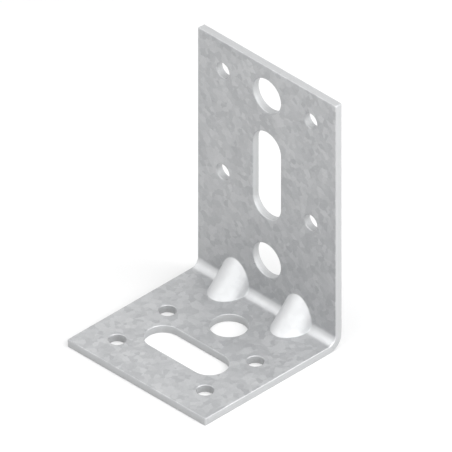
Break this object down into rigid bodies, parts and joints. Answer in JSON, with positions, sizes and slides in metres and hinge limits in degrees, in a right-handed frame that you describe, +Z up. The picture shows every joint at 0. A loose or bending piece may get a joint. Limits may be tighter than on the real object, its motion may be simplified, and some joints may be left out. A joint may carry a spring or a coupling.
{
  "type": "reinforced angle bracket",
  "caption": "Right-angle bracket folded from thick steel sheet, with pressed ridges across the fold, nail holes, bolt holes and a slot in each leg.",
  "frame": {"origin": "middle of the bracket's box, at the height of the base leg's underside", "axes": "+X along the fold, +Y from the base leg's free edge towards the wall leg, +Z up the wall leg"},
  "size_m": [0.055, 0.0544, 0.0842],
  "materials": {
    "galvanised_steel": "zinc coat, satin, with a fine spangle"
  },
  "bodies": {
    "root": {"bracket": "galvanised_steel"}
  },
  "joints": []
}
